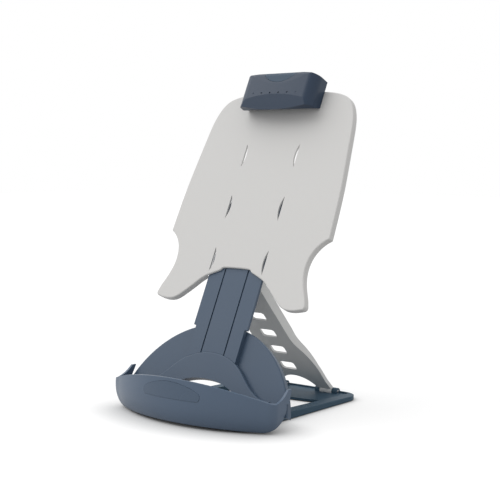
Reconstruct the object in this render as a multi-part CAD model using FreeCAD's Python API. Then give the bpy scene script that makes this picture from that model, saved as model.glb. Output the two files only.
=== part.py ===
"""Desk copy holder: a board that slides on a leaning mast, a clip-on line guide, a tilting easel and a prop leg.

Frame: X to the right, Y to the back, Z up, the desk top at z = 0, the middle of the footprint at x = y = 0.
Pieces of the easel are drawn upright, with their depth y measured back from the board's front face and their
height z measured along the board, and are then leaned back.  The prop leg is drawn upright from its hinge axis.
"""
import FreeCAD, Part

import math
import os

V = FreeCAD.Vector
X_AXIS = V(1, 0, 0)
Y_AXIS = V(0, 1, 0)
Z_AXIS = V(0, 0, 1)

# ---------------------------------------------------------------- driving dimensions (mm, degrees)

LEAN = 25.9                 # the board's lean from the vertical
FACE_Y = -87.5              # where the plane of the board's front face meets the desk

FIT = 0.3                   # running clearance between pieces that move on each other
SLIP = 0.08                 # clearance round a pin that turns in its bore
PAD_GAP = 0.05              # what is left between a brake pad and the mast

# board
BOARD_HALF = 113.9          # half width at the shoulders
BOARD_TOP = 397.0           # crown of the top edge
SHOULDER_Z = 217.0          # sharp shoulders above the waist
LOBE_Z = 133.6              # lowest point of the two lobes
ARCH_Z = 176.2              # apex of the arch between the lobes
BOARD_WALL = 2.4
RIM_DEPTH = 7.4             # depth of the rim behind the front face
RIM_WALL = 2.2
BOARD_EDGE_R = 1.4          # rounding of the front edge
LOBE_TIP_R = 4.0
SHOULDER_R = 1.6
BOARD_RIB = 1.6             # thickness of the stiffening ribs
RIB_STEP = 2.0              # how far the ribs stay below the rim
RIB_COLUMNS = (62.0, 88.0)
RIB_ROWS = (232.0, 282.0, 332.0)
RIB_START_X = 52.0
SLIT_X = 38.5               # chord of each crescent slit
SLIT_HALF = 14.8
SLIT_BULGE = 3.6
SLIT_ROWS = (184.7, 249.8, 314.9)
TOP_SLIT_Z = 383.0          # the short slits under the line guide
TOP_SLIT_HALF = 10.0
BOARD_STROKE = 97.0         # how far the board slides down the mast
TONGUE_MARGIN = 5.0         # how far the board's tongues stop short of the arch and of the mast's top

# mast
MAST_HALF = 38.4
MAST_FOOT_HALF = 34.9       # below the step
MAST_STEP_Z = 107.0
MAST_TOP_Z = 266.0
MAST_THICK = 3.2
MAST_CORNER_R = 5.0
GROOVE_X = 16.5
GROOVE_WIDTH = 1.8
GROOVE_DEPTH = 1.6
CHANNEL_HALF = 30.0         # clear half width of the prop channel on the mast's back
CHANNEL_WALL = 1.8
CHANNEL_DEPTH = 5.0
DETENT_PITCH = 18.0
DETENT_COUNT = 6
DETENT_HIGH = 0.5
DETENT_LONG = 1.9
DETENT_FIRST_Z = 119.0
MAST_SCREW_X = 24.0
MAST_SCREW_EDGE = 8.0       # from the foot's upper and lower ends to its screws

# slide rails on the board's back
RAIL_LOW_Z = 205.0
RAIL_TALL = 50.0
RAIL_LIP = 4.8              # how far the lip reaches behind the mast
RAIL_WALL = 2.4
RAIL_FLANGE = 9.0
RAIL_SCREW_SHARES = (0.18, 0.82)
PAD_SHARES = (0.3, 0.7)
PAD_R = 1.8
STOP_GAP = 0.2              # between the rails' upper ends and the stop screws

# half-round plate with the raised cover
PLATE_R = 121.8
PLATE_CENTRE_Z = -9.7
PLATE_FRONT = 8.0           # depth of the plate's face behind the board's face
PLATE_THICK = 3.0
PLATE_LOW_Z = 22.0
PLATE_RIM_DEPTH = 7.0
PLATE_RIM_WALL = 2.4
PLATE_EDGE_R = 1.6
TAB_X = (20.0, 98.0)        # tabs below the plate, screwed to the ledge's bosses
TAB_Z = 19.5
TAB_R = 5.0
COVER_FRONT = 2.0           # depth of the raised cover's face
COVER_WALL = 2.4
COVER_EDGE_R = 1.2
COVER_TOP_Z = 78.0
COVER_END_X = 94.0
COVER_FALL = 43.4           # from the bell's top to its ends
WINDOW_TOP_Z = 48.1
WINDOW_R = 96.0
WINDOW_LOW_Z = 31.5

# ledge
LEDGE_HALF = 115.0
LEDGE_END_Y = -96.0         # where the bowed front runs out into the ends
LEDGE_FRONT_Y = -122.0      # the front at the middle
LEDGE_END_Z = 32.0          # height of the lip at the ends
LEDGE_MID_Z = 51.0          # height of the lip at the middle
LEDGE_UNDER_END_Z = 1.0     # height of the lower edge at the ends
LEDGE_UNDER_MID_Z = 4.0     # and at the middle
LEDGE_WALL = 2.8
TROUGH_Z = 22.0             # floor of the trough
LEDGE_CORNER_R = 15.0
LEDGE_ROUND_Y = -98.0       # the ends are rounded below and behind about this line
LEDGE_ROUND_R = 30.0
EAR_WAIST_Y = -77.0         # the ends' upper edge dips here and then curls up
EAR_Y = -63.0
EAR_Z = 44.0
BOSS_DEEP = 6.0
BADGE_HALF = 40.0
BADGE_LOW_Z = 30.0
BADGE_HIGH_Z = 47.5
BADGE_DEPTH = 1.0
BADGE_GAP = 0.25
BADGE_PROUD = 0.25
BADGE_CORNER_R = 4.0
# height, how far the front draws back, how far each end draws in
LEDGE_LEVELS = ((0.0, 8.5, 11.0), (9.0, 2.6, 3.0), (20.0, 0.0, 0.0), (36.0, 0.3, 0.4), (64.0, 2.0, 1.8))

# base frame
BAR_OUTER = 81.0
BAR_INNER = 67.0
BASE_FRONT_Y = -97.0
BASE_REAR_Y = 122.5
BASE_REAR_BOW = 4.0
BAR_FRONT_Z = 10.6          # height of the bars at the front
BAR_REAR_Z = 5.2            # and at the rear
BASE_LIFT = 1.0             # the rubber feet hold the base off the desk
BASE_WALL = 2.4
DECK_Z = 3.6
DECK_FRONT_Y = 62.0
DECK_BOW = 9.0
FRONT_BAR = 17.0
FRONT_BAR_Z = 5.0
BASE_EDGE_R = 1.2
REAR_CORNER_R = 22.0
FRONT_CORNER_R = 12.0
FOOT_R = 4.5
FOOT_STEM_R = 3.9
FOOT_SOCKET = 1.2           # how far a foot's stem reaches into the base
FOOT_PAD = 2.0              # thickness of the base over a foot

# front hinge
TILT_Y = -92.0
TILT_Z = 12.0
LUG_R = 5.5
EASEL_LUG_X = 59.6
EASEL_LUG = 7.0             # width of the easel's lug
BASE_LUG_X = 67.0
BASE_LUG = 7.0
PIN_R = 2.0
BUSH_WALL = 1.4

# rear hinge and prop leg
PROP_Y = 113.5
PROP_Z = 5.6
PROP_LEAN = 41.5            # lean of the leg towards the easel
PROP_LONG = 183.6           # from the hinge axis to the tip
PROP_TOP_HALF = 28.0
PROP_HIP_HALF = 43.8
PROP_HIP_T = 44.0           # where the leg is at its full width
PROP_NECK_T = 97.0          # where it begins to widen
PROP_WALL = 2.4
PROP_FLANGE_TOP = 11.0
PROP_FLANGE_LOW = 4.5
PROP_CORNER_R = 5.0
PROP_FACE = 1.2             # how far the panel's face lies in front of the hinge axis
WINDOW_COUNT = 4
WINDOW_PITCH = 28.9
WINDOW_FIRST_T = 40.2
WINDOW_WIDE = 21.0
WINDOW_TALL = 13.0
WINDOW_CORNER = 3.5
ARCH_T = 22.2
ARCH_HALF = 27.0
KNUCKLE_R = 4.3
FOOT_IN = 29.0              # the barrels on the leg's feet
FOOT_OUT = 46.0
LUG_GAP = 0.3
REAR_LUG = 6.5
SHOE_THICK = 1.6
SHOE_WIDE = 4.7
SHOE_EDGE_R = 0.7

# line guide
GUIDE_HALF = 52.0
GUIDE_LOW = 363.5           # lower front edge
GUIDE_HIGH = 411.0
GUIDE_DEEP = 25.0
GUIDE_END_R = 13.0
GUIDE_BOW = 1.0             # how far the front bows
GUIDE_DROP = 4.0            # how far the top falls to the ends
GUIDE_RISE = 6.0            # how far the lower edge rises to the ends
GUIDE_MOUTH_Z = 10.5        # height of the lower edge's rear above its front
GUIDE_SHELL = 2.0
GUIDE_GAP = 0.3             # between the line guide and the board
GUIDE_BACK_LOW = 384.0
GUIDE_BACK_THICK = 2.4
FIN_LOW = 384.5
FIN_HIGH = 392.6
FIN_DEEP = 6.0
BUTTON_R = 29.0
BUTTON_LOW = 397.0
BUTTON_THICK = 3.2
BUTTON_TRAVEL = 3.1         # room behind the button's upper edge
LEVER_Y = -11.0
LEVER_Z = 391.5
LEVER_PIN_R = 1.5
LEVER_PIN_HALF = 34.6
LEVER_WEB_X = 14.0
LEVER_WEB = 2.4
LEVER_BARREL_R = 3.6
LEVER_BARREL = 8.0
CHEEK = 3.2
JAW_LOW = 375.5
JAW_TALL = 6.5
JAW_HALF = 44.0
JAW_DEEP = 7.6
JAW_CORNER_R = 2.0
JAW_PAD_THICK = 1.4
JAW_GAP = 0.05
SPRING_WIRE = 0.8
SPRING_PITCH = 1.12
SPRING_TURNS = 4.25
SPRING_GAP = 0.02
DIMPLE_COUNT = 6
DIMPLE_PITCH = 12.3
DIMPLE_R = 1.1
DIMPLE_DEEP = 0.9
DIMPLE_Z = 383.0
HOUSING_SCREW_X = 41.5
HOUSING_SCREW_DROP = 8.0
HOUSING_SCREW_LONG = 8.0
BOSS_R = 3.4

SCREW_R = 1.5
SCREW_HEAD_R = 2.8
SCREW_HEAD = 1.8

# ---------------------------------------------------------------- sizes that follow

MAST_FRONT = BOARD_WALL + FIT
MAST_BACK = MAST_FRONT + MAST_THICK
PLATE_BACK = PLATE_FRONT + PLATE_THICK
PLATE_TOP_Z = PLATE_CENTRE_Z + PLATE_R
LEDGE_REAR_Y = FACE_Y + 40.0
COVER_END_Z = COVER_TOP_Z - COVER_FALL
BUSH_R = PIN_R + SLIP + BUSH_WALL
OUTSIDE = 300.0             # beyond every piece, for cutters


# ---------------------------------------------------------------- helpers

def box(x0, x1, y0, y1, z0, z1):
    """A box between two corners, given in any order."""
    return Part.makeBox(abs(x1 - x0), abs(y1 - y0), abs(z1 - z0), V(min(x0, x1), min(y0, y1), min(z0, z1)))


def mirrored(shape):
    """The shape's mirror image in the middle plane."""
    return shape.mirror(V(0, 0, 0), X_AXIS)


def both_sides(shape):
    """The shape and its mirror image."""
    return [shape, mirrored(shape)]


def pairs(shapes):
    """Every shape and its mirror image."""
    return [side for shape in shapes for side in both_sides(shape)]


def rod(radius, start, end):
    """A round bar between two points."""
    along = end - start
    return Part.makeCylinder(radius, along.Length, start, along)


def tube(outer, inner, start, end):
    return rod(outer, start, end).cut(rod(inner, start, end))


def curve(points, start, end):
    """A smooth edge through points (x, z) of the front view, with the directions at its ends."""
    spline = Part.BSplineCurve()
    spline.interpolate(Points=[V(x, 0, z) for x, z in points],
                       InitialTangent=V(start[0], 0, start[1]), FinalTangent=V(end[0], 0, end[1]))
    return spline.toShape()


def line(a, b):
    return Part.makeLine(V(a[0], 0, a[1]), V(b[0], 0, b[1]))


def arc(a, middle, b):
    return Part.Arc(*[V(x, 0, z) for x, z in (a, middle, b)]).toShape()


def face_of(edges):
    """The flat face inside a loop of edges."""
    return Part.Face(Part.Wire(Part.__sortEdges__(edges)))


def grown(face, distance):
    """A front-view face grown outwards by a distance, or drawn in if it is negative, with plain spline edges."""
    outline = face.makeOffset2D(distance).OuterWire.toNurbs()
    return face_of(outline.Edges)


def thick(face, front, back):
    """A front-view face extruded from one depth to another."""
    solid = face.extrude(V(0, back - front, 0))
    solid.translate(V(0, front, 0))
    return solid


def side_profile(points, x0, x1):
    """A side-view polygon of points (y, z) extruded across."""
    loop = [V(x0, y, z) for y, z in points]
    return Part.Face(Part.makePolygon(loop + loop[:1])).extrude(V(x1 - x0, 0, 0))


def deep_edges(solid):
    """The edges that run straight from front to back."""
    return [e for e in solid.Edges if e.BoundBox.XLength < 0.01 and e.BoundBox.ZLength < 0.01]


def upright_edges(solid):
    """The edges that run straight up."""
    return [e for e in solid.Edges if e.BoundBox.XLength < 0.01 and e.BoundBox.YLength < 0.01]


def fuse(shapes):
    whole = shapes[0].multiFuse(shapes[1:]) if len(shapes) > 1 else shapes[0]
    return whole.removeSplitter()


def cut_all(shape, tools):
    return shape.cut(Part.makeCompound(tools))


def leaned(shape):
    """Carries an easel piece from its upright drawing to its place."""
    shape = shape.copy()
    shape.rotate(V(0, 0, 0), X_AXIS, -LEAN)
    shape.translate(V(0, FACE_Y, 0))
    return shape


def propped(shape):
    """Carries a piece of the prop leg from its upright drawing to its place."""
    shape = shape.copy()
    shape.rotate(V(0, 0, 0), X_AXIS, PROP_LEAN)
    shape.translate(V(0, PROP_Y, PROP_Z))
    return shape


def level_along_board(depth, level):
    """Height along the board, at a depth behind its face, of a level above the desk."""
    lean = math.radians(LEAN)
    return (level + depth * math.sin(lean)) / math.cos(lean)


def screw(at, direction, long):
    """A pan-head screw whose head rests at a point and whose shank runs along a direction."""
    crown = at - direction * SCREW_HEAD
    shank = Part.makeCylinder(SCREW_R, long, at, direction)
    head = Part.makeCylinder(SCREW_HEAD_R, SCREW_HEAD, crown, direction)
    rim = [e for e in head.Edges if (e.CenterOfMass - crown).Length < SCREW_HEAD / 2]
    head = head.makeFillet(SCREW_HEAD * 0.45, rim[:1])
    return shank.fuse(head)


# ---------------------------------------------------------------- outlines

def board_half_outline():
    """Right half of the board's outline, from the crown of the top to the apex of the arch."""
    side = curve(
        [(0, BOARD_TOP), (46, BOARD_TOP - 1.0), (74, BOARD_TOP - 4.6), (89, BOARD_TOP - 12), (96, BOARD_TOP - 22),
         (104.6, 337), (109.8, 290), (BOARD_HALF, SHOULDER_Z)],
        (1, 0), (0.03, -1))
    tip = (107.6, LOBE_Z + 3.4)
    waist = curve(
        [(BOARD_HALF, SHOULDER_Z), (103.5, 209), (96.2, 197.5), (93.4, 182.5), (96.0, 167), (101.5, 153.5), tip],
        (-1, -0.5), (0.3, -1))
    lobe = curve(
        [tip, (91, LOBE_Z), (78, LOBE_Z + 1.6), (66.5, LOBE_Z + 9.4), (54.7, 153.3), (41, 164.4),
         (22, ARCH_Z - 3.2), (0, ARCH_Z)],
        (-1, -0.28), (-1, 0))
    return [side, waist, lobe]


def board_face():
    half = board_half_outline()
    return face_of(half + [mirrored(edge) for edge in half])


def cover_face(low_z):
    """The raised cover's bell, a little inside the arch of the board when that is down."""
    top = COVER_TOP_Z
    end = (COVER_END_X, COVER_END_Z)
    foot = (COVER_END_X, low_z)
    bell = curve([(0, top), (22, top - 3.4), (40, top - 12.0), (53, top - 23.2), (64.5, top - 33.4),
                  (76, top - 40.4), end], (1, 0), (1, -0.05))
    half = [bell, line(end, foot)]
    return face_of(half + [mirrored(edge) for edge in half] + [line(foot, (-foot[0], low_z))])


def window_face(grow):
    """The see-through arch below the cover, grown outwards by a margin."""
    radius = WINDOW_R + grow
    top, low = WINDOW_TOP_Z + grow, WINDOW_LOW_Z - grow
    drop = top - low
    half = math.sqrt(2 * radius * drop - drop * drop)
    return face_of([arc((-half, low), (0, top), (half, low)), line((half, low), (-half, low))])


def crescent(centre_z, half):
    """A crescent with its chord at the slits' x, bulging to the middle of the board."""
    low, high = (SLIT_X, centre_z - half), (SLIT_X, centre_z + half)
    return face_of([line(low, high), arc(high, (SLIT_X - SLIT_BULGE, centre_z), low)])


# ---------------------------------------------------------------- the board and what slides with it

def board_panel():
    """Moulded board: a thin face with a rim, ribs, four pairs of slits and two tongues for the mast's grooves."""
    face = board_face()
    solid = thick(face, 0, RIM_DEPTH)
    tips = [e for e in deep_edges(solid) if abs(e.CenterOfMass.x) > MAST_HALF and e.CenterOfMass.z < SHOULDER_Z - 1]
    solid = solid.makeFillet(LOBE_TIP_R, tips)
    shoulders = [e for e in deep_edges(solid) if abs(e.CenterOfMass.z - SHOULDER_Z) < 0.1]
    solid = solid.makeFillet(SHOULDER_R, shoulders)
    front = [e for e in solid.Edges if abs(e.BoundBox.YMax) < 0.05]
    solid = solid.makeFillet(BOARD_EDGE_R, front)
    solid = solid.cut(thick(grown(face, -RIM_WALL), BOARD_WALL, RIM_DEPTH + 1))
    mast_room = MAST_HALF + RAIL_WALL + 1.5
    solid = solid.cut(box(-mast_room, mast_room, BOARD_WALL, RIM_DEPTH + 1, LOBE_Z, ARCH_Z + 12))
    limit = thick(grown(face, -RIM_WALL / 2), BOARD_WALL, RIM_DEPTH)
    ribs = [rib.common(limit) for rib in board_ribs()]
    solid = fuse([solid] + pairs(ribs + [board_tongue()]))
    slits = [crescent(z, SLIT_HALF) for z in SLIT_ROWS] + [crescent(TOP_SLIT_Z, TOP_SLIT_HALF)]
    cutters = [thick(slit, -1, BOARD_WALL + 1) for slit in slits]
    cutters += [rod(SCREW_R, V(x, BOARD_WALL - 1.6, z), V(x, BOARD_WALL + 1, z)) for x, z in rail_screw_spots()]
    return cut_all(solid, pairs(cutters))


def board_ribs():
    top = RIM_DEPTH - RIB_STEP
    ribs = [box(x, x + BOARD_RIB, BOARD_WALL, top, SLIT_ROWS[0], BOARD_TOP) for x in RIB_COLUMNS]
    return ribs + [box(RIB_START_X, BOARD_HALF, BOARD_WALL, top, z, z + BOARD_RIB) for z in RIB_ROWS]


def board_tongue():
    """The tongue that runs in the right-hand groove of the mast."""
    half = GROOVE_WIDTH / 2 - FIT
    return box(GROOVE_X - half, GROOVE_X + half, BOARD_WALL, MAST_FRONT + GROOVE_DEPTH - 2 * FIT,
               ARCH_Z + TONGUE_MARGIN, MAST_TOP_Z + BOARD_STROKE - TONGUE_MARGIN)


def rail_screw_spots():
    x = MAST_HALF + FIT + RAIL_WALL + RAIL_FLANGE * 0.55
    return [(x, RAIL_LOW_Z + share * RAIL_TALL) for share in RAIL_SCREW_SHARES]


def pad_spots():
    x = MAST_HALF - RAIL_LIP / 2 + 0.2
    return [(x, RAIL_LOW_Z + share * RAIL_TALL) for share in PAD_SHARES]


def slide_guide():
    """The right-hand rail: a flange on the board, a web beside the mast and a lip behind it."""
    web_x, lip_y = MAST_HALF + FIT, MAST_BACK + FIT
    lip_x, flange_x = MAST_HALF - RAIL_LIP, web_x + RAIL_WALL + RAIL_FLANGE
    section = [(web_x, BOARD_WALL), (web_x, lip_y), (lip_x, lip_y), (lip_x, lip_y + RAIL_WALL),
               (web_x + RAIL_WALL, lip_y + RAIL_WALL), (web_x + RAIL_WALL, BOARD_WALL + RAIL_WALL),
               (flange_x, BOARD_WALL + RAIL_WALL), (flange_x, BOARD_WALL)]
    loop = [V(x, y, RAIL_LOW_Z) for x, y in section]
    solid = Part.Face(Part.makePolygon(loop + loop[:1])).extrude(V(0, 0, RAIL_TALL))
    holes = [rod(SCREW_R, V(x, 0, z), V(x, BOARD_WALL + RAIL_WALL + 1, z)) for x, z in rail_screw_spots()]
    holes += [rod(PAD_R, V(x, lip_y - 1, z), V(x, lip_y + RAIL_WALL + 1, z)) for x, z in pad_spots()]
    return cut_all(solid, holes)


def guide_rail_screws():
    back = BOARD_WALL + RAIL_WALL
    return pairs([screw(V(x, back, z), -Y_AXIS, RAIL_WALL + 1.5) for x, z in rail_screw_spots()])


def brake_pads():
    """Nylon plugs in the lips that rub on the mast's back and hold the board's height."""
    front, back = MAST_BACK + PAD_GAP, MAST_BACK + FIT + RAIL_WALL
    return pairs([rod(PAD_R, V(x, front, z), V(x, back, z)) for x, z in pad_spots()])


# ---------------------------------------------------------------- mast

def slide_mast():
    """Flat slide rail with two grooves in front and the prop's channel behind, on a thicker, narrower foot."""
    strip = box(-MAST_HALF, MAST_HALF, MAST_FRONT, MAST_BACK, MAST_STEP_Z, MAST_TOP_Z)
    tops = [e for e in deep_edges(strip) if e.CenterOfMass.z > MAST_TOP_Z - 1]
    strip = strip.makeFillet(MAST_CORNER_R, tops)
    foot = box(-MAST_FOOT_HALF, MAST_FOOT_HALF, MAST_FRONT, PLATE_FRONT, WINDOW_TOP_Z, MAST_STEP_Z)
    foot = foot.cut(thick(grown(cover_face(PLATE_LOW_Z), SLIP), 0, PLATE_FRONT + 1))
    wall = box(CHANNEL_HALF, CHANNEL_HALF + CHANNEL_WALL, MAST_BACK, MAST_BACK + CHANNEL_DEPTH,
               PLATE_TOP_Z + FIT, MAST_TOP_Z - MAST_CORNER_R)
    detents = [mast_detent(DETENT_FIRST_Z + k * DETENT_PITCH) for k in range(DETENT_COUNT)]
    solid = fuse([strip, foot] + both_sides(wall) + detents)
    groove = box(GROOVE_X - GROOVE_WIDTH / 2, GROOVE_X + GROOVE_WIDTH / 2, MAST_FRONT - 1, MAST_FRONT + GROOVE_DEPTH,
                 0, MAST_TOP_Z + 1)
    holes = [rod(SCREW_R, V(x, PLATE_FRONT - 4, z), V(x, PLATE_FRONT + 1, z)) for x, z in mast_screw_spots()]
    holes += [rod(SCREW_R, V(x, MAST_BACK - 2, z), V(x, MAST_BACK + 1, z)) for x, z in stop_spots()]
    return cut_all(solid, pairs([groove] + holes))


def mast_detent(z):
    """One shallow tooth across the prop's channel."""
    wedge = [(MAST_BACK, z - DETENT_LONG), (MAST_BACK + DETENT_HIGH, z - 0.4), (MAST_BACK, z)]
    return side_profile(wedge, -CHANNEL_HALF, CHANNEL_HALF)


def mast_screw_spots():
    return [(MAST_SCREW_X, COVER_TOP_Z + MAST_SCREW_EDGE), (MAST_SCREW_X, MAST_STEP_Z - MAST_SCREW_EDGE)]


def stop_spots():
    return [(MAST_HALF - SCREW_HEAD_R - 0.2, RAIL_LOW_Z + RAIL_TALL + SCREW_HEAD_R + STOP_GAP)]


def mast_screws():
    return pairs([screw(V(x, PLATE_BACK, z), -Y_AXIS, PLATE_THICK + 3.6) for x, z in mast_screw_spots()])


def height_stop_screws():
    return pairs([screw(V(x, MAST_BACK, z), -Y_AXIS, 2.0) for x, z in stop_spots()])


# ---------------------------------------------------------------- half-round plate

def plate_disc():
    """The plate turned about its own centre: rounded in front, with a rim turned back."""
    centre = PLATE_CENTRE_Z
    rim_back, rim_in = PLATE_FRONT + PLATE_RIM_DEPTH, PLATE_R - PLATE_RIM_WALL
    flat_r, round_y = PLATE_R - PLATE_EDGE_R, PLATE_FRONT + PLATE_EDGE_R
    bend = PLATE_EDGE_R * math.sqrt(0.5)
    corner = Part.Arc(V(flat_r, PLATE_FRONT, centre), V(flat_r + bend, round_y - bend, centre),
                      V(PLATE_R, round_y, centre)).toShape()
    points = [V(PLATE_R, round_y, centre), V(PLATE_R, rim_back, centre), V(rim_in, rim_back, centre),
              V(rim_in, PLATE_BACK, centre), V(0, PLATE_BACK, centre), V(0, PLATE_FRONT, centre),
              V(flat_r, PLATE_FRONT, centre)]
    lines = [Part.makeLine(a, b) for a, b in zip(points, points[1:])]
    disc = Part.Face(Part.Wire([corner] + lines)).revolve(V(0, 0, centre), Y_AXIS, 360)
    return disc.common(box(-PLATE_R - 1, PLATE_R + 1, 0, OUTSIDE, PLATE_LOW_Z, OUTSIDE))


def bell_cover():
    """The bell raised from the plate, standing on the trough floor."""
    cover = thick(cover_face(PLATE_LOW_Z), COVER_FRONT, PLATE_BACK)
    front = [e for e in cover.Edges if abs(e.CenterOfMass.y - COVER_FRONT) < 0.05 and e.CenterOfMass.z > PLATE_LOW_Z + 1]
    cover = cover.makeFillet(COVER_EDGE_R, front)
    near, far = COVER_FRONT - 5, PLATE_BACK + 5
    under = [(near, level_along_board(near, TROUGH_Z)), (far, level_along_board(far, TROUGH_Z)), (far, 0), (near, 0)]
    return cover.cut(side_profile(under, -COVER_END_X - 1, COVER_END_X + 1))


def easel_plate():
    """Half-round plate with a turned-back rim, a hollow raised bell over the ledge, a window and four tabs."""
    hollow = thick(grown(cover_face(WINDOW_LOW_Z), -COVER_WALL), COVER_FRONT + COVER_WALL, PLATE_BACK + 1)
    hollow = hollow.cut(thick(window_face(COVER_WALL), COVER_FRONT, PLATE_BACK + 1))
    tabs = []
    for x, z in ledge_screw_spots():
        tabs.append(rod(TAB_R, V(x, PLATE_FRONT, z), V(x, PLATE_BACK, z)))
        tabs.append(box(x - TAB_R, x + TAB_R, PLATE_FRONT, PLATE_BACK, z, PLATE_LOW_Z + 1))
    solid = fuse([plate_disc(), bell_cover()] + pairs(tabs))
    solid = solid.cut(hollow).cut(thick(window_face(0), 0, OUTSIDE))
    holes = [rod(SCREW_R, V(x, 0, z), V(x, PLATE_BACK + 1, z)) for x, z in mast_screw_spots() + ledge_screw_spots()]
    return cut_all(solid, pairs(holes))


def ledge_screw_spots():
    return [(x, TAB_Z) for x in TAB_X]


# ---------------------------------------------------------------- ledge

def ledge_plan(z, tuck, half_tuck):
    """One level of the ledge's outline: a bowed front that turns smoothly into straight ends."""
    half = LEDGE_HALF - half_tuck
    bow_half, bow_y, front_y = half - LEDGE_CORNER_R, LEDGE_END_Y + tuck / 2, LEDGE_FRONT_Y + tuck
    end_y = bow_y + LEDGE_CORNER_R
    sag = bow_y - front_y
    turn = 2 * math.atan2(sag, bow_half)
    bow = Part.Arc(V(-bow_half, bow_y, z), V(0, front_y, z), V(bow_half, bow_y, z)).toShape()
    corner = Part.BSplineCurve()
    corner.interpolate(Points=[V(bow_half, bow_y, z), V(half, end_y, z)],
                       InitialTangent=V(math.cos(turn), math.sin(turn), 0), FinalTangent=Y_AXIS)
    corner = corner.toShape()
    rear = [V(half, end_y, z), V(half, LEDGE_REAR_Y, z), V(-half, LEDGE_REAR_Y, z), V(-half, end_y, z)]
    sides = [Part.makeLine(a, b) for a, b in zip(rear, rear[1:])]
    return Part.Wire(Part.__sortEdges__([bow, corner] + sides + [mirrored(corner)]))


def ledge_body(inset, low_z, high_z):
    """The scoop-shaped body of the ledge, drawn in by an inset, between two heights."""
    wires = [ledge_plan(z, tuck + inset, half_tuck + inset) for z, tuck, half_tuck in LEDGE_LEVELS]
    body = Part.makeLoft(wires, True, False)
    return body.common(box(-OUTSIDE, OUTSIDE, -OUTSIDE, OUTSIDE, low_z, high_z))


def above_lip():
    """The space above the lip's arched upper edge, but for the ends, which curl up to the plate."""
    half, high = LEDGE_HALF, LEDGE_MID_Z + 20
    crown = arc((-half, LEDGE_END_Z), (0, LEDGE_MID_Z), (half, LEDGE_END_Z))
    sides = [line((half, LEDGE_END_Z), (half + 5, LEDGE_END_Z)), line((half + 5, LEDGE_END_Z), (half + 5, high))]
    top = line((half + 5, high), (-half - 5, high))
    space = thick(face_of([crown, top] + sides + [mirrored(e) for e in sides]), -OUTSIDE, OUTSIDE)
    return cut_all(space, both_sides(ledge_ear()))


def ledge_ear():
    """What the right-hand end keeps behind the lip: an edge that dips and curls up to the plate."""
    x = LEDGE_HALF - LEDGE_WALL - 1
    low = V(x, LEDGE_END_Y, LEDGE_END_Z)
    tip = V(x, EAR_Y, EAR_Z)
    rear = V(x, LEDGE_REAR_Y, EAR_Z)
    curl = Part.Arc(low, V(x, EAR_WAIST_Y, LEDGE_END_Z + 2.5), tip).toShape()
    foot, front = V(x, LEDGE_REAR_Y, 0), V(x, LEDGE_END_Y, 0)
    loop = [Part.makeLine(a, b) for a, b in ((tip, rear), (rear, foot), (foot, front), (front, low))]
    return Part.Face(Part.Wire([curl] + loop)).extrude(V(LEDGE_WALL + 6, 0, 0))


def below_edge():
    """The space below the ledge's slightly arched lower edge, and behind its rounded ends."""
    half = LEDGE_HALF
    edge = arc((-half, LEDGE_UNDER_END_Z), (0, LEDGE_UNDER_MID_Z), (half, LEDGE_UNDER_END_Z))
    drop = [line((half, LEDGE_UNDER_END_Z), (half, -10)), line((-half, LEDGE_UNDER_END_Z), (-half, -10))]
    under = thick(face_of([edge, line((half, -10), (-half, -10))] + drop), -OUTSIDE, OUTSIDE)
    centre_z = LEDGE_ROUND_R
    corner = box(-OUTSIDE, OUTSIDE, LEDGE_ROUND_Y, OUTSIDE, -1, centre_z)
    drum = rod(LEDGE_ROUND_R, V(-OUTSIDE, LEDGE_ROUND_Y, centre_z), V(OUTSIDE, LEDGE_ROUND_Y, centre_z))
    return [under, corner.cut(drum)]


def behind_plate():
    """Everything behind the plane of the plate's face."""
    return leaned(box(-OUTSIDE, OUTSIDE, PLATE_FRONT, OUTSIDE, -OUTSIDE, OUTSIDE))


def ledge_lug():
    """A rounded lug hanging from the trough floor round the front hinge's axis, on the right."""
    near, far = EASEL_LUG_X, EASEL_LUG_X + EASEL_LUG
    round_part = rod(LUG_R, V(near, TILT_Y, TILT_Z), V(far, TILT_Y, TILT_Z))
    web = box(near, far, TILT_Y - LUG_R, TILT_Y + LUG_R, TILT_Z, TROUGH_Z - LEDGE_WALL / 2)
    return round_part.fuse(web)


def ledge_boss(x, z):
    """A block under the trough floor that a tab of the plate is screwed to."""
    block = leaned(box(x - TAB_R, x + TAB_R, PLATE_FRONT - BOSS_DEEP, PLATE_FRONT, z - TAB_R, z + 3 * TAB_R))
    return block.common(box(-OUTSIDE, OUTSIDE, -OUTSIDE, OUTSIDE, 0, TROUGH_Z - LEDGE_WALL / 2))


def paper_ledge():
    """Bowed trough with a crowned front lip and rounded ends, open below, with lugs for the front hinge."""
    outer = ledge_body(0, 0, LEDGE_MID_Z + 5)
    trough = ledge_body(LEDGE_WALL, TROUGH_Z, LEDGE_MID_Z + 6)
    under = ledge_body(LEDGE_WALL, -1, TROUGH_Z - LEDGE_WALL)
    shell = cut_all(outer, [trough, under]).cut(above_lip())
    shell = cut_all(shell, below_edge() + [behind_plate()])
    solid = fuse([shell] + pairs([ledge_lug()] + [ledge_boss(x, z) for x, z in ledge_screw_spots()]))
    holes = [leaned(rod(SCREW_R, V(x, PLATE_FRONT - 2.4, z), V(x, PLATE_FRONT + 1, z))) for x, z in ledge_screw_spots()]
    holes.append(rod(PIN_R, V(EASEL_LUG_X - 1, TILT_Y, TILT_Z), V(BASE_LUG_X, TILT_Y, TILT_Z)))
    return cut_all(solid, pairs(holes)).cut(badge_prism(BADGE_GAP, BADGE_DEPTH))


def badge_outline(grow):
    """Dome shape with a flat foot and rounded ends."""
    half, low, high = BADGE_HALF + grow, BADGE_LOW_Z - grow, BADGE_HIGH_Z + grow
    shoulder = low + (high - low) * 0.45
    return face_of([line((-half, low), (half, low)), line((half, low), (half, shoulder)),
                    arc((half, shoulder), (0, high), (-half, shoulder)), line((-half, shoulder), (-half, low))])


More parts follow.
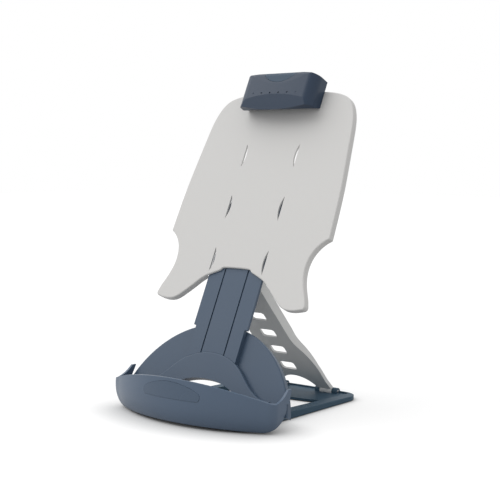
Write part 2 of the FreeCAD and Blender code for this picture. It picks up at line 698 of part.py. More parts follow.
def badge_prism(grow, depth):
    """The badge's outline pushed into the lip: a layer of the lip's own skin, a depth thick."""
    prism = thick(badge_outline(grow), LEDGE_FRONT_Y - 5, LEDGE_FRONT_Y + 20)
    prism = prism.makeFillet(BADGE_CORNER_R + grow, deep_edges(prism))
    return prism.cut(ledge_body(depth, 0, LEDGE_MID_Z + 10))


def ledge_badge():
    """Plain inlay in the middle of the lip, just proud of it."""
    return badge_prism(0, BADGE_DEPTH).common(ledge_body(-BADGE_PROUD, 0, LEDGE_MID_Z + 10))


def ledge_screws():
    return pairs([screw(V(x, PLATE_BACK, z), -Y_AXIS, PLATE_THICK + 2.2) for x, z in ledge_screw_spots()])


# ---------------------------------------------------------------- base frame

def base_outline(inset):
    """Plan of the base: straight sides and a slightly bowed rear."""
    half = BAR_OUTER - inset
    front, rear = BASE_FRONT_Y + inset, BASE_REAR_Y - inset
    side_rear = rear - BASE_REAR_BOW
    left_rear, left_front = V(-half, side_rear, 0), V(-half, front, 0)
    right_front, right_rear = V(half, front, 0), V(half, side_rear, 0)
    lines = [Part.makeLine(left_rear, left_front), Part.makeLine(left_front, right_front),
             Part.makeLine(right_front, right_rear)]
    return Part.Face(Part.Wire(lines + [Part.Arc(right_rear, V(0, rear, 0), left_rear).toShape()]))


def base_prism(inset, z0, z1):
    """The base's plan with its corners rounded, between two heights."""
    solid = base_outline(inset).extrude(V(0, 0, z1 - z0))
    solid.translate(V(0, 0, z0))
    solid = solid.makeFillet(REAR_CORNER_R - inset, [e for e in upright_edges(solid) if e.CenterOfMass.y > 0])
    front = [e for e in upright_edges(solid) if abs(e.CenterOfMass.y - BASE_FRONT_Y - inset) < 0.01]
    return solid.makeFillet(FRONT_CORNER_R - inset, front)


def above_bars(drop):
    """The space above the bars' sloping top, lowered by a drop."""
    slope = (BAR_FRONT_Z - BAR_REAR_Z) / (BASE_REAR_Y - BASE_FRONT_Y)
    margin = 20
    near, far = BASE_FRONT_Y - margin, BASE_REAR_Y + margin
    high, low = BAR_FRONT_Z + slope * margin - drop, BAR_REAR_Z - slope * margin - drop
    return side_profile([(near, high), (far, low), (far, OUTSIDE), (near, OUTSIDE)], -OUTSIDE, OUTSIDE)


def deck_face():
    """Plan of the rear deck: a front edge bowed towards the ledge, and everything behind it."""
    half, bow_y, back = BAR_INNER + 1, DECK_FRONT_Y + DECK_BOW, BASE_REAR_Y + 5
    edge = Part.Arc(V(-half, bow_y, 0), V(0, DECK_FRONT_Y, 0), V(half, bow_y, 0)).toShape()
    corners = [V(half, bow_y, 0), V(half, back, 0), V(-half, back, 0), V(-half, bow_y, 0)]
    return Part.Face(Part.Wire([edge] + [Part.makeLine(a, b) for a, b in zip(corners, corners[1:])]))


def base_shell():
    """Tapering side bars, hollow below, joined by a low front bar and by the rim at the rear."""
    outer = base_prism(0, BASE_LIFT, BAR_FRONT_Z + 5).cut(above_bars(0))
    top = [e for e in outer.Edges if e.CenterOfMass.z > BAR_REAR_Z - 0.5]
    top = [e for e in top if e.BoundBox.XLength > 0.01 or e.BoundBox.YLength > 0.01]
    outer = outer.makeFillet(BASE_EDGE_R, top)
    hollow = base_prism(BASE_WALL, BASE_LIFT - 1, BAR_FRONT_Z).cut(above_bars(BASE_WALL))
    gap_front, far = BASE_FRONT_Y + FRONT_BAR, BASE_REAR_Y + 5
    inner = box(-BAR_INNER, BAR_INNER, gap_front, far, -1, 40)
    keep_half = BAR_INNER + BASE_WALL
    keep = box(-keep_half, keep_half, gap_front - BASE_WALL, far, -1, 40)
    shell = outer.cut(hollow.cut(keep)).cut(inner)
    above_front_bar = box(-BAR_INNER, BAR_INNER, BASE_FRONT_Y - 5, gap_front + 1, FRONT_BAR_Z, 40)
    front_top = box(-BAR_INNER - 1, BAR_INNER + 1, BASE_FRONT_Y, gap_front, FRONT_BAR_Z - BASE_WALL, FRONT_BAR_Z)
    rim = base_prism(0, BASE_LIFT, BAR_REAR_Z).cut(base_prism(BASE_WALL, 0, BAR_FRONT_Z))
    rim = rim.common(box(-BAR_OUTER, BAR_OUTER, DECK_FRONT_Y + DECK_BOW, BASE_REAR_Y, 0, 40)).cut(above_bars(0))
    return [shell.cut(above_front_bar), front_top, rim]


def base_frame():
    """One moulding: hollow side bars, a low front bar, a sunk rear deck with a rim, and the hinges' lugs."""
    deck = deck_face().extrude(V(0, 0, DECK_Z - BASE_LIFT))
    deck.translate(V(0, 0, BASE_LIFT))
    deck = deck.common(base_prism(0.5, 0, BAR_FRONT_Z))
    pads = [rod(FOOT_R + 1.5, V(x, y, BASE_LIFT), V(x, y, BASE_LIFT + FOOT_PAD)) for x, y in foot_spots()]
    lugs = [base_lug()] + [rear_lug(x) for x in rear_lug_places()]
    solid = fuse(base_shell() + [deck] + pairs(pads + lugs))
    bush_bore = rod(BUSH_R, V(BASE_LUG_X - 1, TILT_Y, TILT_Z), V(BASE_LUG_X + BASE_LUG, TILT_Y, TILT_Z))
    lug_end = FOOT_OUT + LUG_GAP + REAR_LUG
    pin_bore = rod(PIN_R, V(0, PROP_Y, PROP_Z), V(lug_end, PROP_Y, PROP_Z))
    knuckle_room = rod(KNUCKLE_R + LUG_GAP, V(FOOT_IN - LUG_GAP, PROP_Y, PROP_Z), V(FOOT_OUT + LUG_GAP, PROP_Y, PROP_Z))
    sockets = [rod(FOOT_STEM_R, V(x, y, 0), V(x, y, BASE_LIFT + FOOT_SOCKET)) for x, y in foot_spots()]
    return cut_all(solid, pairs([bush_bore, pin_bore, knuckle_room] + sockets))


def base_lug():
    """The lug on a side bar that holds the front hinge's bush, on the right."""
    near, far = BASE_LUG_X, BASE_LUG_X + BASE_LUG
    round_part = rod(LUG_R, V(near, TILT_Y, TILT_Z), V(far, TILT_Y, TILT_Z))
    web = box(near, far, TILT_Y - LUG_R * 0.8, TILT_Y + LUG_R, BAR_REAR_Z, TILT_Z)
    return round_part.fuse(web).cut(box(0, OUTSIDE, -OUTSIDE, BASE_FRONT_Y, 0, OUTSIDE))


def rear_lug_places():
    return [FOOT_IN - LUG_GAP - REAR_LUG, FOOT_OUT + LUG_GAP]


def rear_lug(x):
    round_part = rod(KNUCKLE_R, V(x, PROP_Y, PROP_Z), V(x + REAR_LUG, PROP_Y, PROP_Z))
    web = box(x, x + REAR_LUG, PROP_Y - KNUCKLE_R, PROP_Y + KNUCKLE_R, DECK_Z - 0.5, PROP_Z)
    return round_part.fuse(web)


def foot_spots():
    return [(BAR_OUTER - 7.0, BASE_FRONT_Y + 12.0), (BAR_OUTER - 14.0, BASE_REAR_Y - 22.0)]


def rubber_feet():
    feet = []
    for x, y in foot_spots():
        stem = rod(FOOT_STEM_R, V(x, y, BASE_LIFT / 2), V(x, y, BASE_LIFT + FOOT_SOCKET))
        feet.append(rod(FOOT_R, V(x, y, 0), V(x, y, BASE_LIFT)).fuse(stem))
    return pairs(feet)


# ---------------------------------------------------------------- hinges

def tilt_pins():
    end = BASE_LUG_X + BASE_LUG - FIT
    return both_sides(rod(PIN_R, V(EASEL_LUG_X, TILT_Y, TILT_Z), V(end, TILT_Y, TILT_Z)))


def tilt_bushes():
    start, end = V(BASE_LUG_X, TILT_Y, TILT_Z), V(BASE_LUG_X + BASE_LUG, TILT_Y, TILT_Z)
    return both_sides(tube(BUSH_R, PIN_R + SLIP, start, end))


def prop_pins():
    start, end = FOOT_IN - LUG_GAP - REAR_LUG, FOOT_OUT + LUG_GAP + REAR_LUG
    return both_sides(rod(PIN_R, V(start, PROP_Y, PROP_Z), V(end, PROP_Y, PROP_Z)))


# ---------------------------------------------------------------- prop leg (upright from its hinge axis)

def prop_face(inset):
    """Front view of the leg: narrow above, wide hips, and straight feet."""
    top, hip, foot = PROP_TOP_HALF - inset, PROP_HIP_HALF - inset, FOOT_OUT - inset
    tip, knee = PROP_LONG - inset, PROP_HIP_T * 0.4
    middle = ((top + hip) / 2, (PROP_HIP_T + PROP_NECK_T) / 2)
    flare = curve([(hip, knee), (hip - 0.6, PROP_HIP_T), middle, (top, PROP_NECK_T)], (0, 1), (0, 1))
    half = [line((foot, 0), (hip, knee)), flare, line((top, PROP_NECK_T), (top, tip))]
    return face_of(half + [mirrored(e) for e in half] + [line((-foot, 0), (foot, 0)), line((top, tip), (-top, tip))])


def prop_shell():
    """The panel with flanges turned back along its sides and upper edge, deeper above than at the feet."""
    deep = thick(prop_face(0), 0, PROP_FLANGE_TOP)
    corners = [e for e in deep_edges(deep) if e.CenterOfMass.z > PROP_LONG - 1]
    deep = deep.makeFillet(PROP_CORNER_R, corners)
    taper = side_profile([(PROP_FLANGE_LOW, -1), (PROP_FLANGE_LOW, PROP_HIP_T), (PROP_FLANGE_TOP, PROP_NECK_T),
                          (PROP_FLANGE_TOP, PROP_LONG + 1), (OUTSIDE, PROP_LONG + 1), (OUTSIDE, -1)], -OUTSIDE, OUTSIDE)
    inner = thick(prop_face(PROP_WALL), PROP_WALL, PROP_FLANGE_TOP + 1)
    inner = inner.cut(box(-OUTSIDE, OUTSIDE, 0, OUTSIDE, -1, PROP_WALL))
    panel = deep.cut(taper).cut(inner)
    panel.translate(V(0, -PROP_FACE, 0))
    return panel


def prop_windows():
    windows = []
    for k in range(WINDOW_COUNT):
        t = WINDOW_FIRST_T + k * WINDOW_PITCH
        pane = box(-WINDOW_WIDE / 2, WINDOW_WIDE / 2, -OUTSIDE, OUTSIDE, t - WINDOW_TALL / 2, t + WINDOW_TALL / 2)
        windows.append(pane.makeFillet(WINDOW_CORNER, deep_edges(pane)))
    return windows


def prop_leg():
    """Flanged panel with a row of windows, an arch at the foot and two feet round the rear hinge."""
    low = -KNUCKLE_R
    arch = face_of([arc((-ARCH_HALF, 0), (0, ARCH_T), (ARCH_HALF, 0)), line((ARCH_HALF, 0), (ARCH_HALF, low)),
                    line((ARCH_HALF, low), (-ARCH_HALF, low)), line((-ARCH_HALF, low), (-ARCH_HALF, 0))])
    panel = cut_all(prop_shell(), prop_windows() + [thick(arch, -OUTSIDE, OUTSIDE)])
    barrel = rod(KNUCKLE_R, V(FOOT_IN, 0, 0), V(FOOT_OUT, 0, 0))
    lug_room = rod(KNUCKLE_R + LUG_GAP, V(0, 0, 0), V(FOOT_IN, 0, 0))
    panel = cut_all(panel, both_sides(lug_room))
    solid = fuse([panel] + both_sides(barrel))
    return solid.cut(rod(PIN_R + SLIP, V(-FOOT_OUT - 1, 0, 0), V(FOOT_OUT + 1, 0, 0)))


def prop_tip_shoe():
    """Rubber strip along the leg's upper edge."""
    half = PROP_TOP_HALF - PROP_CORNER_R - 1
    front = -PROP_FACE + 0.2
    strip = box(-half, half, front, front + SHOE_WIDE, PROP_LONG, PROP_LONG + SHOE_THICK)
    top = PROP_LONG + SHOE_THICK
    edges = [e for e in strip.Edges if e.BoundBox.XLength > half and e.CenterOfMass.z > top - 0.1]
    return strip.makeFillet(SHOE_EDGE_R, edges)


# ---------------------------------------------------------------- line guide

def guide_side(inset):
    """Side view of the housing, drawn in by an inset."""
    front, back = -GUIDE_DEEP + inset, -GUIDE_GAP
    low, high = GUIDE_LOW + inset, GUIDE_HIGH - inset
    return [(back, low + GUIDE_MOUTH_Z), (front + 4, low), (front, low + 18), (front, high - 16), (front + 0.9, high - 5),
            (front + 2.7, high - 1.5), (front + 5.2, high), (back, high)]


def guide_front(inset):
    """Front view of the housing: crowned above and below."""
    half, low, high = GUIDE_HALF - inset, GUIDE_LOW + inset, GUIDE_HIGH - inset
    rise, drop = low + GUIDE_RISE, high - GUIDE_DROP
    return face_of([arc((-half, rise), (0, low), (half, rise)), line((half, rise), (half, drop)),
                    arc((half, drop), (0, high), (-half, drop)), line((-half, drop), (-half, rise))])


def guide_plan(inset):
    """Plan of the housing: a slightly bowed front whose ends round to the back."""
    half, deep, end = GUIDE_HALF - inset, GUIDE_DEEP - inset, GUIDE_END_R - inset
    bend = end * (1 - math.sqrt(0.5))
    side, shoulder = V(half, -deep + GUIDE_BOW + end, 0), V(half - end, -deep + GUIDE_BOW, 0)
    corner = Part.Arc(side, V(half - bend, -deep + GUIDE_BOW + bend, 0), shoulder).toShape()
    front = Part.Arc(shoulder, V(0, -deep, 0), V(-shoulder.x, shoulder.y, 0)).toShape()
    back, left_back = V(half, 1, 0), V(-half, 1, 0)
    edges = [front, corner, mirrored(corner), Part.makeLine(back, side), Part.makeLine(left_back, back),
             Part.makeLine(V(-half, side.y, 0), left_back)]
    return Part.Face(Part.Wire(Part.__sortEdges__(edges)))


def guide_body(inset):
    """The housing's outer form: where its side view, front view and plan all agree."""
    side = side_profile(guide_side(inset), -GUIDE_HALF, GUIDE_HALF)
    plan = guide_plan(inset).extrude(V(0, 0, OUTSIDE))
    plan.translate(V(0, 0, GUIDE_LOW - OUTSIDE / 4))
    return side.common(thick(guide_front(inset), -GUIDE_DEEP - 5, 5)).common(plan)


def button_disc(grow, back):
    """The round thumb patch that cuts the housing's upper front edge."""
    centre = BUTTON_LOW + BUTTON_R
    return rod(BUTTON_R + grow, V(0, -GUIDE_DEEP - 5, centre), V(0, back, centre))


def guide_housing():
    """Front shell with closed ends, open at the back, at the button and along its lower rear edge."""
    inner_half = GUIDE_HALF - GUIDE_SHELL
    mouth = box(-inner_half, inner_half, -GUIDE_GAP - 6, 1, GUIDE_LOW, GUIDE_HIGH - GUIDE_DROP - GUIDE_SHELL)
    shell = guide_body(0).cut(guide_body(GUIDE_SHELL).fuse(mouth))
    shell = shell.cut(button_disc(FIT, LEVER_Y + BUTTON_TRAVEL))
    front, back = -GUIDE_DEEP + 1, -GUIDE_GAP - GUIDE_BACK_THICK
    inside = [rod(BOSS_R, V(x, back, z), V(x, front, z)) for x, z in housing_screw_spots()]
    inside.append(box(LEVER_PIN_HALF + 1 - CHEEK, LEVER_PIN_HALF + 1, back, front, LEVER_Z - 4, LEVER_Z + 8))
    inside = [one.common(guide_body(GUIDE_SHELL / 4)) for one in inside]
    shell = fuse([shell] + pairs(inside))
    holes = [rod(SCREW_R, V(x, 1, z), V(x, -GUIDE_GAP - SCREW_HEAD - HOUSING_SCREW_LONG, z))
             for x, z in housing_screw_spots()]
    holes.append(rod(LEVER_PIN_R, V(0, LEVER_Y, LEVER_Z), V(LEVER_PIN_HALF, LEVER_Y, LEVER_Z)))
    return cut_all(shell, pairs(holes) + dimples())


def dimples():
    """The row of small dimples in the housing's front."""
    first_x = -(DIMPLE_COUNT - 1) / 2 * DIMPLE_PITCH
    places = [first_x + k * DIMPLE_PITCH for k in range(DIMPLE_COUNT)]
    return [rod(DIMPLE_R, V(x, -GUIDE_DEEP - 1, DIMPLE_Z), V(x, -GUIDE_DEEP + DIMPLE_DEEP, DIMPLE_Z)) for x in places]


def housing_screw_spots():
    return [(HOUSING_SCREW_X, GUIDE_HIGH - HOUSING_SCREW_DROP)]


def guide_back():
    """Plate that closes the housing's back, with two curved fins for a pair of slits."""
    rear, front = -GUIDE_GAP, -GUIDE_GAP - GUIDE_BACK_THICK
    half = GUIDE_HALF - GUIDE_SHELL - FIT
    plate = box(-half, half, front, rear, GUIDE_BACK_LOW, GUIDE_HIGH - GUIDE_DROP - GUIDE_SHELL - FIT)
    fin = thick(grown(crescent(TOP_SLIT_Z, TOP_SLIT_HALF), -FIT), front, FIN_DEEP)
    fin = fin.common(box(0, GUIDE_HALF, front, FIN_DEEP, FIN_LOW, FIN_HIGH))
    holes = []
    for x, z in housing_screw_spots():
        holes.append(rod(SCREW_R, V(x, front - 1, z), V(x, 1, z)))
        holes.append(rod(SCREW_HEAD_R, V(x, rear - SCREW_HEAD, z), V(x, 1, z)))
    return cut_all(fuse([plate] + both_sides(fin)), pairs(holes))


def housing_screws():
    seat = -GUIDE_GAP - SCREW_HEAD
    return pairs([screw(V(x, seat, z), -Y_AXIS, HOUSING_SCREW_LONG) for x, z in housing_screw_spots()])


def thumb_lever():
    """Thumb button, webs down past the pin, and the jaw bar behind the housing's lower edge."""
    button = guide_body(0).cut(guide_body(BUTTON_THICK)).common(button_disc(0, LEVER_Y))
    skin_y, jaw_top = -GUIDE_DEEP + BUTTON_THICK - 0.6, JAW_LOW + JAW_TALL - 0.5
    jaw_back = -GUIDE_GAP - JAW_GAP - JAW_PAD_THICK
    jaw_front = jaw_back - JAW_DEEP
    web = side_profile([(skin_y + 2, GUIDE_HIGH - BUTTON_THICK + 0.6), (skin_y, BUTTON_LOW + 8),
                        (skin_y + 1.4, BUTTON_LOW + 4),
                        (LEVER_Y - LEVER_BARREL_R, LEVER_Z - 1), (jaw_front + 0.8, jaw_top), (jaw_front + 3.6, jaw_top),
                        (LEVER_Y + LEVER_BARREL_R, LEVER_Z + 1), (LEVER_Y - 4, GUIDE_HIGH - BUTTON_THICK + 0.6)],
                       LEVER_WEB_X, LEVER_WEB_X + LEVER_WEB)
    barrel_x = LEVER_WEB_X + LEVER_WEB / 2 - LEVER_BARREL / 2
    barrel = rod(LEVER_BARREL_R, V(barrel_x, LEVER_Y, LEVER_Z), V(barrel_x + LEVER_BARREL, LEVER_Y, LEVER_Z))
    bar = box(-JAW_HALF, JAW_HALF, jaw_front, jaw_back, JAW_LOW, JAW_LOW + JAW_TALL)
    bar = bar.makeFillet(JAW_CORNER_R, deep_edges(bar))
    solid = fuse([button, bar] + pairs([web, barrel]))
    bore = rod(LEVER_PIN_R + SLIP, V(-GUIDE_HALF, LEVER_Y, LEVER_Z), V(GUIDE_HALF, LEVER_Y, LEVER_Z))
    return solid.cut(bore)


def jaw_pad():
    back, margin = -GUIDE_GAP - JAW_GAP, 0.8
    return box(-JAW_HALF + JAW_CORNER_R, JAW_HALF - JAW_CORNER_R, back - JAW_PAD_THICK, back,
               JAW_LOW + margin, JAW_LOW + JAW_TALL - margin)


def lever_pin():
    return rod(LEVER_PIN_R, V(-LEVER_PIN_HALF, LEVER_Y, LEVER_Z), V(LEVER_PIN_HALF, LEVER_Y, LEVER_Z))


def lever_spring():
    """Torsion spring: a coil round the pin, one leg to the housing's front and one down to the jaw bar."""
    radius, wire = LEVER_PIN_R + SPRING_GAP + SPRING_WIRE / 2, SPRING_WIRE / 2
    long = SPRING_PITCH * SPRING_TURNS
    forward = GUIDE_DEEP - GUIDE_SHELL + LEVER_Y - GUIDE_BOW / 4
    down = LEVER_Z - JAW_LOW - JAW_TALL - JAW_GAP
    path = Part.Wire(Part.makeHelix(SPRING_PITCH, long, radius).Edges)
    section = Part.Wire([Part.makeCircle(wire, V(radius, 0, 0), Y_AXIS)])
    coil = path.makePipeShell([section], True, True)
    first_leg = rod(wire, V(radius, 0, 0), V(radius, -forward, 0))
    second_leg = rod(wire, V(0, radius, long), V(-down, radius, long))
    spring = fuse([coil, first_leg, second_leg])
    spring.rotate(V(0, 0, 0), Y_AXIS, 90)
    spring = spring.mirror(V(0, 0, 0), Z_AXIS)
    spring.translate(V(-long / 2, LEVER_Y, LEVER_Z))
    return spring


# ---------------------------------------------------------------- export

def easel_pieces():
    """The pieces that are drawn upright and leaned back."""
    rail = slide_guide()
    return {
        "board_panel": [board_panel()],
        "right_slide_guide": [rail],
        "left_slide_guide": [mirrored(rail)],
        "guide_rail_screws": guide_rail_screws(),
        "brake_pads": brake_pads(),
        "slide_mast": [slide_mast()],
        "mast_screws": mast_screws(),
        "height_stop_screws": height_stop_screws(),
        "easel_plate": [easel_plate()],
        "ledge_screws": ledge_screws(),
        "guide_housing": [guide_housing()],
        "guide_back": [guide_back()],
        "housing_screws": housing_screws(),
        "thumb_lever": [thumb_lever()],
        "jaw_pad": [jaw_pad()],
        "lever_pin": [lever_pin()],
        "lever_spring": [lever_spring()],
    }


def standing_pieces():
    """The pieces that are drawn in their place."""
    return {
        "paper_ledge": [paper_ledge()],
        "ledge_badge": [ledge_badge()],
        "base_frame": [base_frame()],
        "rubber_feet": rubber_feet(),
        "tilt_pins": tilt_pins(),
        "tilt_bushes": tilt_bushes(),
        "prop_pins": prop_pins(),
        "prop_leg": [propped(prop_leg())],
        "prop_tip_shoe": [propped(prop_tip_shoe())],
    }


def main():
    os.makedirs("parts", exist_ok=True)
    pieces = {name: [leaned(solid) for solid in solids] for name, solids in easel_pieces().items()}
    pieces.update(standing_pieces())
    for name, solids in pieces.items():
        shape = solids[0] if len(solids) == 1 else Part.makeCompound(solids)
        shape.exportStep(os.path.join("parts", name + ".step"))


main()
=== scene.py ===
"""Looks of the desk copy holder: materials for every piece, a pale studio, and the camera."""

import math

import bpy
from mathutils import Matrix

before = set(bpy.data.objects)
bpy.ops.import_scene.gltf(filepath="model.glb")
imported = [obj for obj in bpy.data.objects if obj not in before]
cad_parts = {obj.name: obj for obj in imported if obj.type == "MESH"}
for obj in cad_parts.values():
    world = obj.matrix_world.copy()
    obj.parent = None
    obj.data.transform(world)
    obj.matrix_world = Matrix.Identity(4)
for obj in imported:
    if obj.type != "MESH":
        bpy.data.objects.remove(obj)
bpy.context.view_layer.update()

# ---------------------------------------------------------------- colours (linear)

BOARD = (0.690, 0.683, 0.670)
SLATE = (0.064, 0.098, 0.150)
LEDGE = (0.098, 0.140, 0.205)
GUIDE = (0.022, 0.042, 0.078)
BUTTON = (0.038, 0.071, 0.115)
BADGE = (0.084, 0.122, 0.180)
BASE = (0.052, 0.096, 0.140)
PROP = (0.780, 0.785, 0.775)
NYLON = (0.700, 0.680, 0.610)
RUBBER = (0.022, 0.023, 0.026)
ZINC = (0.560, 0.560, 0.580)
STEEL = (0.500, 0.500, 0.520)
SPRING = (0.420, 0.410, 0.390)
WHITE = (1.0, 1.0, 1.0)
FLOOR_COLOUR = (0.50, 0.50, 0.50)

# ---------------------------------------------------------------- grain of the finishes

CLOUD_DETAIL = 4.0
GRAIN_DETAIL = 2.0
BUMP_STRENGTH = 0.5
NOISE_LOW = 0.3                # most of a noise texture's values lie between these two
NOISE_HIGH = 0.7

# ---------------------------------------------------------------- camera and light (metres, degrees)

CAMERA_PLACE = (0.8101, -0.9811, 0.2832)
CAMERA_TURN = (85.27, 0.0, 39.15)
CAMERA_LENS = 82.05            # mm
SENSOR = 36.0                  # mm

WORLD_LIGHT = 0.69
SUN_LIGHT = 1.22
SUN_TURN = (40.0, 0.0, -62.0)
SUN_ANGLE = 60.0
FLOOR_HALF = 6.0
FLOOR_GLOW = 0.60
PAINTED_SHADOW_REACH = 0.045          # how near the object has to be for the painted contact shadow to dim the floor's glow under it
PAINTED_SHADOW_POWER = 1.6


# ---------------------------------------------------------------- node helpers

class Nodes:
    """A material or world node tree with short calls to add and join nodes."""

    def __init__(self, tree):
        self.tree = tree
        self.tree.nodes.clear()

    def add(self, kind, **inputs):
        """A node with its inputs set; _ in a name stands for a space."""
        node = self.tree.nodes.new(kind)
        for name, value in inputs.items():
            node.inputs[name.replace("_", " ")].default_value = value
        return node

    def join(self, source, target):
        self.tree.links.new(source, target)

    def math(self, operation, *values):
        """The result of a sum on sockets and numbers."""
        node = self.tree.nodes.new("ShaderNodeMath")
        node.operation = operation
        for target, value in zip(node.inputs, values):
            if isinstance(value, float):
                target.default_value = value
            else:
                self.join(value, target)
        return node.outputs["Value"]

    def finish(self, kind, source):
        """Joins a shader to the tree's output node."""
        self.join(source, self.add(kind).inputs["Surface"])


def rgba(colour):
    return (*colour, 1.0)


def new_material(name):
    material = bpy.data.materials.new(name)
    material.use_nodes = True
    return material, Nodes(material.node_tree)


def noise(nodes, coordinates, scale, detail, stretch=None):
    """A noise texture over object coordinates, drawn out along an axis if a stretch is given."""
    texture = nodes.add("ShaderNodeTexNoise", Scale=scale, Detail=detail)
    if stretch:
        mapping = nodes.add("ShaderNodeMapping", Scale=stretch)
        nodes.join(coordinates, mapping.inputs["Vector"])
        coordinates = mapping.outputs["Vector"]
    nodes.join(coordinates, texture.inputs["Vector"])
    return texture.outputs["Fac"]


def blend_colours(nodes, factor, low, high):
    """Two shades of a colour mixed by a factor."""
    mix = nodes.add("ShaderNodeMix")
    mix.data_type = "RGBA"
    first, second = [s for s in mix.inputs if s.type == "RGBA"]
    first.default_value = rgba(low)
    second.default_value = rgba(high)
    nodes.join(factor, mix.inputs["Factor"])
    return next(s for s in mix.outputs if s.type == "RGBA")


def spread(nodes, factor, low, high):
    """A noise factor spread over a range."""
    ranged = nodes.add("ShaderNodeMapRange", From_Min=NOISE_LOW, From_Max=NOISE_HIGH, To_Min=low, To_Max=high)
    nodes.join(factor, ranged.inputs["Value"])
    return ranged.outputs["Result"]


def surface(name, colour, roughness, metallic=0.0, shade=0.05, grain=1400.0, depth=0.00004, cloud=14.0,
            polish=0.04, stretch=None, specular=0.32):
    """A finish with clouded colour, uneven polish and a fine grain in its surface."""
    material, nodes = new_material(name)
    place = nodes.add("ShaderNodeTexCoord").outputs["Object"]
    shader = nodes.add("ShaderNodeBsdfPrincipled", Metallic=metallic, Specular_IOR_Level=specular)
    clouds = noise(nodes, place, cloud, CLOUD_DETAIL)
    grains = noise(nodes, place, grain, GRAIN_DETAIL, stretch)
    low = tuple(c * (1 - shade) for c in colour)
    high = tuple(min(c * (1 + shade), 1.0) for c in colour)
    nodes.join(blend_colours(nodes, clouds, low, high), shader.inputs["Base Color"])
    nodes.join(spread(nodes, clouds, roughness - polish, roughness + polish), shader.inputs["Roughness"])
    bump = nodes.add("ShaderNodeBump", Strength=BUMP_STRENGTH, Distance=depth)
    nodes.join(grains, bump.inputs["Height"])
    nodes.join(bump.outputs["Normal"], shader.inputs["Normal"])
    nodes.finish("ShaderNodeOutputMaterial", shader.outputs["BSDF"])
    return material


def brushed(name, colour, roughness=0.34, stretch=(0.03, 1.0, 1.0)):
    """Metal with fine lines, along X unless another stretch is given."""
    return surface(name, colour, roughness, metallic=1.0, shade=0.08, grain=2600.0, depth=0.00002,
                   cloud=60.0, polish=0.06, stretch=stretch)


# ---------------------------------------------------------------- the finish of every piece

def finishes():
    screws = brushed("zinc_screws", ZINC)
    rail = surface("rail_moulding", GUIDE, 0.48)
    steel = brushed("ground_bar", STEEL, 0.28)
    rubber = surface("black_rubber", RUBBER, 0.78, grain=700.0, depth=0.00012, specular=0.35)
    nylon = surface("natural_nylon", NYLON, 0.46)
    return {
        "board_panel": surface("board_moulding", BOARD, 0.55, shade=0.015, grain=1100.0, depth=0.00006),
        "left_slide_guide": rail,
        "right_slide_guide": rail,
        "guide_rail_screws": screws,
        "brake_pads": nylon,
        "slide_mast": surface("mast_moulding", SLATE, 0.42),
        "mast_screws": screws,
        "height_stop_screws": screws,
        "easel_plate": surface("slate_moulding", SLATE, 0.40),
        "paper_ledge": surface("ledge_moulding", LEDGE, 0.34),
        "ledge_badge": surface("badge_inlay", BADGE, 0.26, grain=400.0, depth=0.00001),
        "ledge_screws": screws,
        "tilt_pins": steel,
        "tilt_bushes": nylon,
        "base_frame": surface("base_moulding", BASE, 0.50, specular=0.12),
        "rubber_feet": rubber,
        "prop_leg": surface("prop_moulding", PROP, 0.50, shade=0.03),
        "prop_tip_shoe": rubber,
        "prop_pins": steel,
        "guide_housing": surface("clip_moulding", GUIDE, 0.33),
        "guide_back": rail,
        "housing_screws": screws,
        "thumb_lever": surface("lever_moulding", BUTTON, 0.36, specular=0.20),
        "jaw_pad": rubber,
        "lever_pin": steel,
        "lever_spring": brushed("spring_wire", SPRING, 0.38, stretch=(1.0, 1.0, 1.0)),
    }


def dress():
    """Gives every CAD node its finish."""
    for name, material in finishes().items():
        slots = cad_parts[name].data.materials
        slots.clear()
        slots.append(material)


# ---------------------------------------------------------------- studio

def seen_directly(nodes):
    """1 for rays that show the background: from the camera, in gloss, or through glass."""
    path = nodes.add("ShaderNodeLightPath")
    total = path.outputs["Is Camera Ray"]
    for name in ("Is Glossy Ray", "Is Transmission Ray"):
        total = nodes.math("MAXIMUM", total, path.outputs[name])
    return total


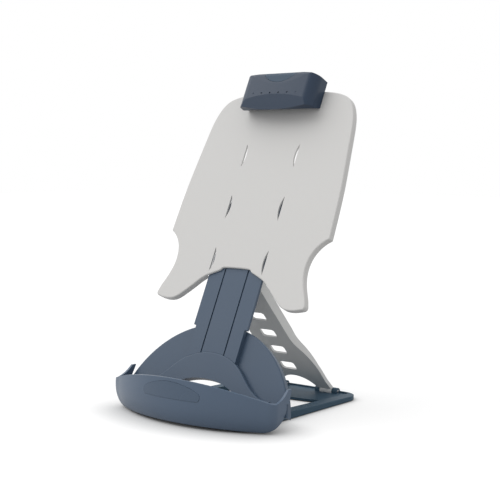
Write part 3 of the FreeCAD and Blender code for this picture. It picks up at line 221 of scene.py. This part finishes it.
def make_world():
    """White where it is seen, and an even pale light elsewhere."""
    world = bpy.data.worlds.new("studio")
    bpy.context.scene.world = world
    world.use_nodes = True
    nodes = Nodes(world.node_tree)
    lit = nodes.add("ShaderNodeBackground", Color=rgba(WHITE), Strength=WORLD_LIGHT)
    shown = nodes.add("ShaderNodeBackground", Color=rgba(WHITE), Strength=1.0)
    mix = nodes.add("ShaderNodeMixShader")
    nodes.join(seen_directly(nodes), mix.inputs["Fac"])
    nodes.join(lit.outputs["Background"], mix.inputs[1])
    nodes.join(shown.outputs["Background"], mix.inputs[2])
    nodes.finish("ShaderNodeOutputWorld", mix.outputs["Shader"])


def floor_glow(nodes):
    """Lifts the floor to white where it is seen, with a painted contact shadow: an ambient-occlusion mask
    dims the glow close to the object that stands on it.
    """
    openness = nodes.add("ShaderNodeAmbientOcclusion", Distance=PAINTED_SHADOW_REACH).outputs["AO"]
    # painted contact shadow: the glow is dimmed where ambient occlusion finds the object close by
    glow_under_painted_shadow = nodes.math("MULTIPLY", nodes.math("POWER", openness, PAINTED_SHADOW_POWER), FLOOR_GLOW)
    glow = nodes.add("ShaderNodeEmission")
    nodes.join(nodes.math("MULTIPLY", seen_directly(nodes), glow_under_painted_shadow), glow.inputs["Strength"])
    return glow.outputs["Emission"]


def make_floor():
    """A wide pale floor that keeps the object's shadow."""
    bpy.ops.mesh.primitive_plane_add(size=2 * FLOOR_HALF, location=(0, 0, 0))
    floor = bpy.context.object
    floor.name = "studio_floor"
    material, nodes = new_material("floor_paper")
    matt = nodes.add("ShaderNodeBsdfDiffuse", Color=rgba(FLOOR_COLOUR))
    both = nodes.add("ShaderNodeAddShader")
    nodes.join(matt.outputs["BSDF"], both.inputs[0])
    nodes.join(floor_glow(nodes), both.inputs[1])
    nodes.finish("ShaderNodeOutputMaterial", both.outputs["Shader"])
    floor.data.materials.append(material)


def in_scene(name, data, turn):
    """An object for a camera or lamp, turned by degrees about X, Y and Z."""
    thing = bpy.data.objects.new(name, data)
    thing.rotation_euler = [math.radians(a) for a in turn]
    bpy.context.scene.collection.objects.link(thing)
    return thing


def make_sun():
    data = bpy.data.lights.new("sun", "SUN")
    data.energy = SUN_LIGHT
    data.angle = math.radians(SUN_ANGLE)
    in_scene("sun", data, SUN_TURN)


def make_camera():
    data = bpy.data.cameras.new("camera")
    data.sensor_width = SENSOR
    data.lens = CAMERA_LENS
    camera = in_scene("camera", data, CAMERA_TURN)
    camera.location = CAMERA_PLACE
    bpy.context.scene.camera = camera


dress()
make_world()
make_floor()
make_sun()
make_camera()
bpy.context.scene.view_settings.view_transform = "Standard"
